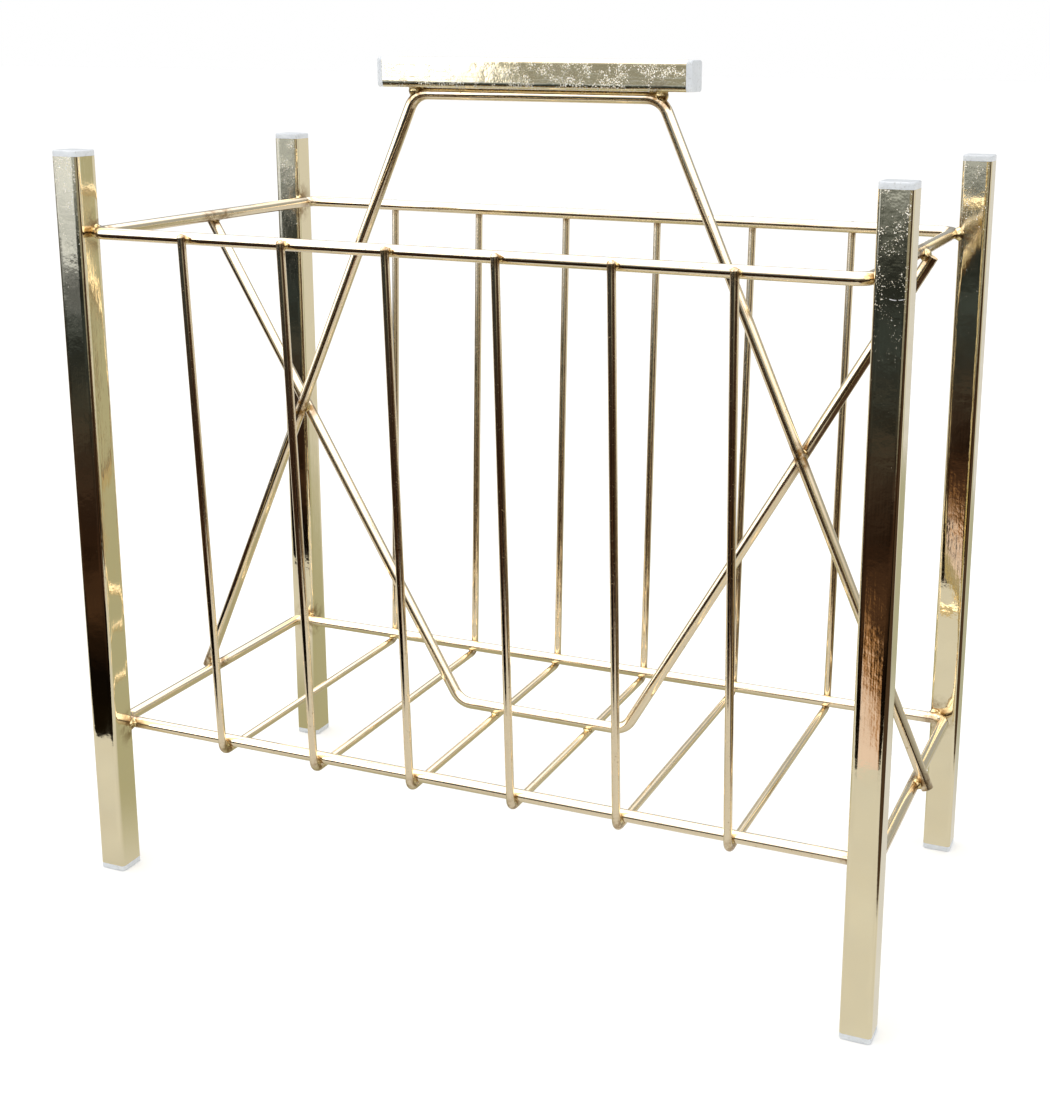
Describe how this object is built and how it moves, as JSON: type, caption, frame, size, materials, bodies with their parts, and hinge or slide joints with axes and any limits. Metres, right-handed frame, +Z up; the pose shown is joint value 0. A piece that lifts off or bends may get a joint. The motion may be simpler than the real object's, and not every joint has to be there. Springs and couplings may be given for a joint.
{
  "type": "magazine rack",
  "caption": "Free-standing wire magazine rack: square tube legs with plastic caps carry an open slatted basket, split lengthwise by crossed wires that rise to a carrying handle.",
  "frame": {"origin": "on the floor, under the middle of the rack", "axes": "+X to the right along the handle and the long side, +Y from the front to the back, +Z up"},
  "size_m": [0.458, 0.2244, 0.4565],
  "materials": {
    "tube_brass": "polished brass plate on square steel tube, slightly pitted",
    "wire_brass": "polished brass plate on round steel wire",
    "weld_brass": "darker, tarnished brass plate over weld metal",
    "cap_plastic": "milky, slightly translucent moulded plastic"
  },
  "bodies": {
    "root": {"leg_tube_front_left": "tube_brass", "top_cap_front_left": "cap_plastic", "foot_cap_front_left": "cap_plastic", "leg_tube_front_right": "tube_brass", "top_cap_front_right": "cap_plastic", "foot_cap_front_right": "cap_plastic", "leg_tube_rear_left": "tube_brass", "top_cap_rear_left": "cap_plastic", "foot_cap_rear_left": "cap_plastic", "leg_tube_rear_right": "tube_brass", "top_cap_rear_right": "cap_plastic", "foot_cap_rear_right": "cap_plastic", "handle_tube": "tube_brass", "handle_cap_left": "cap_plastic", "handle_cap_right": "cap_plastic", "top_ring": "wire_brass", "bottom_ring": "wire_brass", "basket_wire_1": "wire_brass", "basket_wire_2": "wire_brass", "basket_wire_3": "wire_brass", "basket_wire_4": "wire_brass", "basket_wire_5": "wire_brass", "basket_wire_6": "wire_brass", "handle_wire": "wire_brass", "divider_wire": "wire_brass", "basket_top_welds": "weld_brass", "basket_bottom_welds": "weld_brass", "top_ring_welds": "weld_brass", "bottom_ring_welds": "weld_brass", "handle_welds": "weld_brass", "divider_crossing_welds": "weld_brass", "divider_top_welds": "weld_brass", "handle_wire_foot_welds": "weld_brass", "divider_slat_welds": "weld_brass"}
  },
  "joints": []
}
